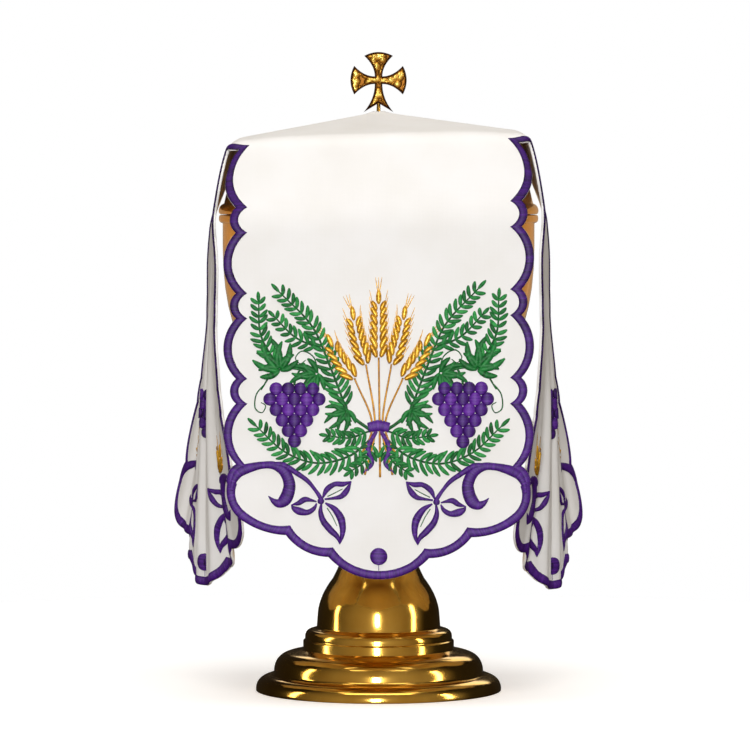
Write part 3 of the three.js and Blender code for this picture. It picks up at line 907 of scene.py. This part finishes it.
def leafWork():
    # the vine with its leaves and tendrils, and sprays with small leaves in pairs
    s = sprayShape
    work = Needlework(stitchShape["fineStep"] * 1.2, stitchShape["fineSection"])
    for rows in [panel["vine"], panel["bunchStem"], *panel["tendrils"]]:
        work.addStroke(onPanel(rows), crown=0.5, tint=0.1)
    for rows in veins:
        work.addStroke(downwards(rows), crown=0.35, tint=0.1)
    for leaf in panel["vineLeaves"]:
        vineLeaf(work, onPanel([leaf["base"]])[0], leaf["angle"], leaf["size"])
    for spray in panel["sprays"]:
        work.addStroke(onPanel(spray["line"]), crown=0.45, tint=0.05)
        line = throughRows(onPanel(spray["line"]), 0.5)
        places = np.linspace(0.12, 0.97, spray["pairs"]) * (len(line) - 1)
        for k, place in enumerate(places.astype(int)):
            way = line[min(place + 1, len(line) - 1), :2] - line[place - 1, :2]
            heading = math.degrees(math.atan2(way[0], way[1]))
            for hand in (-1, 1):
                size = spray["leaf"] * (1 - s["shrink"] * k / spray["pairs"]) * (0.9 + 0.2 * chance.random())
                lean = s["lean"] + s["leanSpread"] * chance.random()
                tint = 0.1 + 0.42 * chance.random()
                work.addPetal(line[place, :2], heading + hand * lean, size, s["leafWidth"], 0.6, tint,
                              bend=0.06 * hand)
        heading = math.degrees(math.atan2(*(line[-1, :2] - line[-3, :2])))
        work.addPetal(line[-1, :2], heading, spray["leaf"] * s["endLeaf"], s["endLeafWidth"], 0.6, 0.3)
    work.mirrored()
    work.onArms(("front", "back"))
    return work


# The two side arms have a smaller motif: one bunch of grapes on its stem, and a short ear on each side of it.
sideMotif = {
    "grapes": {
        "top": (0, -6),
        "rows": [3, 4, 3, 2, 1],
        "radius": 2.5,
        "across": 4.6,
        "down": 4.1,
        "crown": 1.1,
        "tintSpan": 0.3,
    },
    "stem": [(0, 24, 0.7), (-0.8, 10, 1.0), (0, -5, 1.2)],
    "ears": [
        {"base": (34, -38), "angle": 0, "pairs": 3, "bend": 0.0},
        {"base": (30, -37), "angle": -24, "pairs": 2, "bend": 0.0},
        {"base": (38, -37), "angle": 24, "pairs": 2, "bend": 0.0},
    ],
    "stalk": (34, -43),
}


def sideGrapeWork():
    work = Needlework()
    addBunch(work, sideMotif["grapes"])
    work.addStroke(onPanel(sideMotif["stem"]), crown=0.7, tint=0.1)
    work.onArms(("right", "left"))
    return work


def sideWheatWork():
    work = Needlework(stitchShape["fineStep"], stitchShape["fineSection"])
    startX, startY = sideMotif["stalk"]
    for ear in sideMotif["ears"]:
        x, y = ear["base"]
        addEar(work, ear, [(startX, startY, 0.8), ((x + startX) / 2, y - 3, 0.8), (x, y, 0.8)])
    work.mirrored()
    work.onArms(("right", "left"))
    return work


border = borderWork().lay("border_stitching", purpleThread, "purple_thread")
scrolls = scrollWork().lay("scroll_stitching", purpleThread, "purple_thread")
wheat = wheatWork().lay("wheat_stitching", goldThread, "gold_thread")
grapes = grapeWork().lay("grape_stitching", purpleThread, "purple_thread")
leaves = leafWork().lay("leaf_stitching", greenThread, "green_thread")
sideGrapes = sideGrapeWork().lay("side_grape_stitching", purpleThread, "purple_thread")
sideWheat = sideWheatWork().lay("side_wheat_stitching", goldThread, "gold_thread")

# Turned brass: radius, height, and the point that pulls a curve towards it, with how many steps it has
footProfile = [
    (3.4, 9), (9.5, 9), (9.5, 2), (46, 2), (46, 0), (55.3, 0), (55.3, 1.2), (48, 7.3, 55, 6.4), (47.2, 8.4),
    (37.6, 17.8, 47.2, 17), (34, 18.7), (34, 22.6), (33.1, 23.1), (29.6, 27.8, 33.6, 27.6), (27.9, 28.5),
    (27.4, 35), (20.6, 50.6, 26.8, 42.5), (11.2, 82, 13.5, 64), (13.6, 86, 11.2, 84.6), (3.4, 86),
]
knobProfile = [
    (3.4, 86.35), (13.6, 86.35), (13.6, 89.6), (11.4, 91.6), (20.6, 102, 20.6, 94.4),
    (11.4, 112.4, 20.6, 109.6), (13.6, 114.4), (13.6, 118), (3.4, 118),
]
bowlProfile = [
    (0, 3), (3, 3), (3, 118.35), (12.6, 118.35), (9.8, 123, 9.8, 119.4), (15, 128.6, 9.8, 128.2),
    (70, 200, 70, 130), (70, 210.6), (71.7, 212.4, 71.7, 210.8), (71, 214.2, 71.7, 214.2), (68.6, 214.2),
    (68.5, 200), (14, 130.6, 68.5, 132), (0, 130.2),
]
lidProfile = [
    (1.7, 257.2), (56.2, 246.4), (62.2, 240.4, 60.9, 245.4), (67.6, 219), (66.7, 215.5), (66.7, 209.6),
    (68.1, 209.6), (68.1, 214.55), (71, 214.55), (71.8, 216.4, 71.9, 214.9), (69.4, 219.3, 71.4, 218.8),
    (64.2, 241.2), (57, 247.9, 62.8, 246.7), (1.7, 258.7),
]
stemProfile = [
    (0, 253.2), (1.3, 253.2), (1.3, 259.05), (2.2, 259.05), (2.2, 259.6), (0.9, 260.3), (0.8, 264.9),
    (0, 265),
]
turning = {"sides": 144, "curveSteps": 14, "edgeBevel": 0.22, "bevelFrom": 25}  # degrees between two faces


def profileLine(rows):
    # straight stretches, and quadratic curves where a row names a pull: (1-t)^2 a + 2t(1-t) pull + t^2 b
    line = [np.array(rows[0], float)]
    for row in rows[1:]:
        end = np.array(row[:2], float)
        if len(row) > 2:
            t = np.linspace(0, 1, turning["curveSteps"] + 1)[1:, None]
            line += list((1 - t) ** 2 * line[-1] + 2 * t * (1 - t) * np.array(row[2:]) + t ** 2 * end)
        else:
            line.append(end)
    return np.array(line)


def sealed(piece):
    # vertices that meet are joined, and all faces point out
    shape = bmesh.new()
    shape.from_mesh(piece.data)
    bmesh.ops.remove_doubles(shape, verts=shape.verts, dist=1e-6)
    bmesh.ops.recalc_face_normals(shape, faces=shape.faces)
    shape.to_mesh(piece.data)
    shape.free()
    return piece


def turnedPiece(name, rows, material, replaces):
    # a profile carried round the Z axis: x = r cos a, y = r sin a
    line = profileLine(rows)
    isClosed = rows[0][0] > 0
    if isClosed:
        line = np.vstack([line, line[:1]])
    angle = np.linspace(0, 2 * np.pi, turning["sides"] + 1)
    x = np.outer(np.cos(angle), line[:, 0])
    y = np.outer(np.sin(angle), line[:, 0])
    z = np.broadcast_to(line[:, 1], x.shape)
    points = np.stack([x, y, z], -1)
    faces = grid(*points.shape[:2])
    piece = sealed(makePiece(name, points.reshape(-1, 3), faces, material, replaces=replaces))
    bevel = piece.modifiers.new("soft edges", "BEVEL")
    bevel.width = turning["edgeBevel"] * mm
    bevel.segments = 2
    bevel.limit_method = "ANGLE"
    bevel.angle_limit = math.radians(turning["bevelFrom"])
    bevel.use_clamp_overlap = True
    print(name, "made")
    return piece


turnedPiece("foot_spun", footProfile, brassFinish, ["foot"])
turnedPiece("knob_turned", knobProfile, brassFinish, ["knob"])
turnedPiece("bowl_spun", bowlProfile, brassFinish, ["bowl"])
turnedPiece("lid_spun", lidProfile, brassFinish, ["lid"])
for node in ("foot_nut", "finial_nut"):
    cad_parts[node].data.materials.clear()
    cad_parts[node].data.materials.append(brassFinish)

# The cast cross on the lid: four flared arms with raised edges round a rough field
crossShape = {
    "centre": 274.6,
    "waist": 1.7,
    "tip": 6.4,
    "tipReach": 10.9,  # a corner of an arm's end from the centre
    "reach": 12.6,  # the middle of that end
    "footTip": 6.7,
    "footReach": 14.3,
    "footNotch": 10.3,
    "thickness": 3.0,
    "edge": 0.55,  # width of the raised edge
    "groove": 0.4,  # width of the groove inside it
    "sunk": 0.55,  # how deep the groove lies
    "grain": 0.65,  # height of the field's lumps
    "lump": 2.1,  # their pitch
    "lumpReach": 0.62,  # how far a lump spreads, as a share of the pitch
    "fieldSunk": 0.35,  # how deep the field lies between lumps
    "spotsOut": 15.0,  # lumps are scattered this far from the centre
    "seed": 11,
    "rounding": 0.4,  # how much lower the cut edge is
    "paintedRimShade": (0.35, 0.7),  # painted shade: distances from the cut edge between which the dark edge fades
    "paintedShadowLine": 1.0,  # width of the painted shadow, a dark line along the foot's end where the cross meets the cloth
    "slender": 0.6,  # how far out an arm begins to flare
    "endPower": 2.2,  # how late its rows take the curve of its end
    "alongSteps": 60,
    "acrossSteps": 30,
}


def crossArm(quarter):
    # one arm, u along and v across: the half width follows a curve from waist to tip, and the end is a curve
    s = crossShape
    isFoot = quarter == 2
    tip, far = (s["footTip"], s["footReach"]) if isFoot else (s["tip"], s["tipReach"])
    u = np.linspace(0, 1, s["alongSteps"] + 1)[:, None]
    v = np.linspace(-1, 1, s["acrossSteps"] + 1)[None, :]
    half = (1 - u) ** 2 * s["waist"] + 2 * u * (1 - u) * s["waist"] + u ** 2 * tip
    along = (1 - u) ** 2 * s["waist"] + 2 * u * (1 - u) * far * s["slender"] + u ** 2 * far
    end = (s["footNotch"] - far) * (1 - np.abs(v)) if isFoot else (s["reach"] - far) * (1 - v * v)
    flat = np.stack([half * v, along + end * u ** s["endPower"]], -1)
    return turned(flat, 90 * quarter)


def crossRelief(flat, fromEdge):
    # from the cut edge inwards: a raised edge, a groove, and a field of lumps like beaten metal, which is the
    # distance to the nearest of many scattered points
    s = crossShape
    many = int((2 * s["spotsOut"]) ** 2 / s["lump"] ** 2)
    spots = np.random.default_rng(s["seed"]).uniform(-s["spotsOut"], s["spotsOut"], (many, 2))
    nearest = np.sqrt(((flat[:, None] - spots[None]) ** 2).sum(-1)).min(1)
    lumps = np.clip(1.1 - nearest / (s["lumpReach"] * s["lump"]), -0.4, 1)
    inside = smooth(fromEdge, s["edge"] * 0.7, s["edge"] * 1.1)
    field = smooth(fromEdge, s["edge"] + s["groove"] * 0.6, s["edge"] + s["groove"] * 1.4)
    height = -s["sunk"] * inside * (1 - field) + field * (s["grain"] * lumps - s["fieldSunk"])
    return height, np.clip(0.76 + 0.75 * height / s["grain"], 0.12, 1)


def castCross():
    s = crossShape
    blocks = [crossArm(quarter) for quarter in range(4)]
    square = np.linspace(-s["waist"], s["waist"], s["acrossSteps"] + 1)
    blocks.append(np.stack(np.meshgrid(square, square), -1))
    flats, faces, start = [], [], 0
    for block in blocks:
        flats.append(block.reshape(-1, 2))
        faces.append(grid(*block.shape[:2], start)[:, ::-1])
        start += block[..., 0].size
    flat, quads = merged(np.vstack(flats), np.vstack(faces))
    count = len(flat)
    a, b = rimEdges(quads, count)
    rim = flat[np.unique(a)]
    fromEdge = np.sqrt(((flat[:, None] - rim[None]) ** 2).sum(-1)).min(1)
    relief, tint = crossRelief(flat, fromEdge)
    rounding = np.sqrt(np.clip(fromEdge / s["edge"] * 2, 0, 1)) * s["rounding"]
    notch = s["footNotch"] + (s["footReach"] - s["footNotch"]) * np.abs(flat[:, 0]) / s["footTip"]
    # painted shadow: the strip along the foot's notched end is tinted black
    isPaintedShadow = (-flat[:, 1] > notch - s["paintedShadowLine"]) & (-flat[:, 1] > s["waist"] * 3)
    # painted shade: the tint is dark along the cut edge and fades inwards
    tint = np.where(isPaintedShadow, 0.0, tint * smooth(fromEdge, *s["paintedRimShade"]))
    height = s["thickness"] / 2 - s["rounding"] + rounding + relief
    front = np.column_stack([flat[:, 0], -height, s["centre"] + flat[:, 1]])
    rear = np.column_stack([flat[:, 0], height, s["centre"] + flat[:, 1]])
    sides = np.stack([b, a, a + count, b + count], -1)
    points = np.vstack([front, rear])
    allFaces = np.vstack([quads, quads[:, ::-1] + count, sides])
    return makePiece("cross_cast", points, allFaces, giltFinish, tint=np.tile(tint, 2),
                     replaces=["finial_cross"])


sealed(castCross())
turnedPiece("cross_stem", stemProfile, brassFinish, [])
print("cross made")

# Floor, light and camera
studio = {
    "distance": 2000.0,  # of the camera, in mm
    "elevation": 2.5,  # degrees
    "aimHeight": 142.2,
    "aimAcross": -1.6,
    "viewWidth": 337.5,  # at the stem
    "floorRadius": 0.46,  # m
    "floorSides": 96,
    "floorGlow": 0.44,
    "room": 0.13,
    "roomInMetal": (0.42, 0.02),  # what polished metal sees of the room, in front and behind
    "roomColour": (1.0, 0.85, 0.72, 1),
    "metalRoomColour": (1.0, 0.86, 0.7, 1),
    "glowColour": (1, 0.84, 0.6),
}


def makeFloor():
    # a round white table under the part
    r, sides = studio["floorRadius"], studio["floorSides"]
    angle = np.linspace(0, 2 * np.pi, sides + 1)[:-1]
    mesh = bpy.data.meshes.new("floor")
    rim = np.stack([r * np.cos(angle), r * np.sin(angle), 0 * angle], -1)
    mesh.from_pydata(rim.tolist(), [], [list(range(sides))])
    material = nodeMaterial("floor", Roughness=0.9, Base_Color=(0.95, 0.95, 0.95, 1),
                            Emission_Color=(1, 1, 1, 1), Emission_Strength=studio["floorGlow"])[0]
    mesh.materials.append(material)
    floor = bpy.data.objects.new("floor", mesh)
    floor.visible_glossy = False
    floor.visible_diffuse = False
    bpy.context.scene.collection.objects.link(floor)


def softLight(name, place, size, power, colour=(1, 1, 1), aim=(0, 0, 0.14)):
    light = bpy.data.lights.new(name, "AREA")
    light.shape = "RECTANGLE"
    light.size, light.size_y = size
    light.energy = power
    light.color = colour
    lamp = bpy.data.objects.new(name, light)
    lamp.location = place
    lamp.rotation_euler = (Vector(aim) - Vector(place)).to_track_quat("-Z", "Y").to_euler()
    bpy.context.scene.collection.objects.link(lamp)
    return lamp


def makeCamera():
    s = studio
    e = math.radians(s["elevation"])
    camera = bpy.data.cameras.new("camera")
    camera.lens = camera.sensor_width * s["distance"] / s["viewWidth"]
    camera.clip_end = 50
    holder = bpy.data.objects.new("camera", camera)
    aim = Vector((s["aimAcross"] * mm, 0, s["aimHeight"] * mm))
    holder.location = aim + Vector((0, -math.cos(e), math.sin(e))) * s["distance"] * mm
    holder.rotation_euler = (aim - holder.location).to_track_quat("-Z", "Y").to_euler()
    bpy.context.scene.collection.objects.link(holder)
    bpy.context.scene.camera = holder


def studioWorld():
    # white behind the part, a dim warm room round it, and in its reflections a room that is light in front
    # and dark behind
    world = bpy.data.worlds.new("studio")
    world.use_nodes = True
    tree = world.node_tree
    link = tree.links.new
    path = addNode(tree, "ShaderNodeLightPath")
    room = fill(tree, tree.nodes["Background"], Color=studio["roomColour"], Strength=studio["room"])
    way = addNode(tree, "ShaderNodeTexCoord").outputs["Generated"]
    depth = addNode(tree, "ShaderNodeSeparateXYZ", Vector=way).outputs["Y"]
    near, far = studio["roomInMetal"]
    falling = addNode(tree, "ShaderNodeMapRange", Value=depth, From_Min=-1.0, From_Max=0.1, To_Min=near,
                      To_Max=far)
    inMetal = addNode(tree, "ShaderNodeBackground", Color=studio["metalRoomColour"],
                      Strength=falling.outputs["Result"])
    backdrop = addNode(tree, "ShaderNodeBackground", Color=(1, 1, 1, 1), Strength=1.0)
    shown = room
    for ray, other in (("Is Glossy Ray", inMetal), ("Is Camera Ray", backdrop)):
        mix = addNode(tree, "ShaderNodeMixShader", Fac=path.outputs[ray])
        link(shown.outputs[0], mix.inputs[1])
        link(other.outputs[0], mix.inputs[2])
        shown = mix
    link(shown.outputs[0], tree.nodes["World Output"].inputs["Surface"])
    bpy.context.scene.world = world


makeFloor()
makeCamera()
studioWorld()
bpy.context.scene.view_settings.view_transform = "Standard"
softLight("front", (-0.1, -2.4, 0.15), (0.25, 0.9), 41, (0.98, 0.99, 1))
softLight("overhead", (0, -0.5, 1.9), (1.8, 1.4), 24, (1, 0.98, 0.94))
softLight("behind", (0.3, 1.9, 1.2), (1.6, 0.8), 6)
for side, place, power in (("left", (-1.7, -0.1, 0.5), 7), ("right", (1.6, -0.6, 0.5), 8)):
    strip = softLight(side + " strip", place, (0.22, 1.1), power, (1, 0.92, 0.8))
    strip.visible_diffuse = False  # for the gloss of the metal alone
for hand in (-1, 1):
    sideFill = softLight("side fill", (hand * 1.4, 0.6, 0.4), (0.9, 0.9), 4, (1, 0.95, 0.88))
    sideFill.visible_glossy = False  # for the cloth alone


def innerGlow(name, place, size, power):
    # stands for the light that real cloth lets through to its inner side, which the brass mirrors; it faces
    # straight out from the stem
    aim = (place[0] * 3, place[1] * 3, place[2])
    glow = softLight(name, place, size, power, studio["glowColour"], aim)
    glow.visible_camera = False
    glow.visible_glossy = False


for hand in (-1, 1):
    innerGlow("upper glow", (hand * 0.0719, 0, 0.195), (0.12, 0.08), 0.01)
    innerGlow("side glow", (hand * 0.034, 0, 0.088), (0.06, 0.05), 0.006)
    innerGlow("lower glow", (0, hand * 0.034, 0.088), (0.06, 0.05), 0.006)

print("studio made")
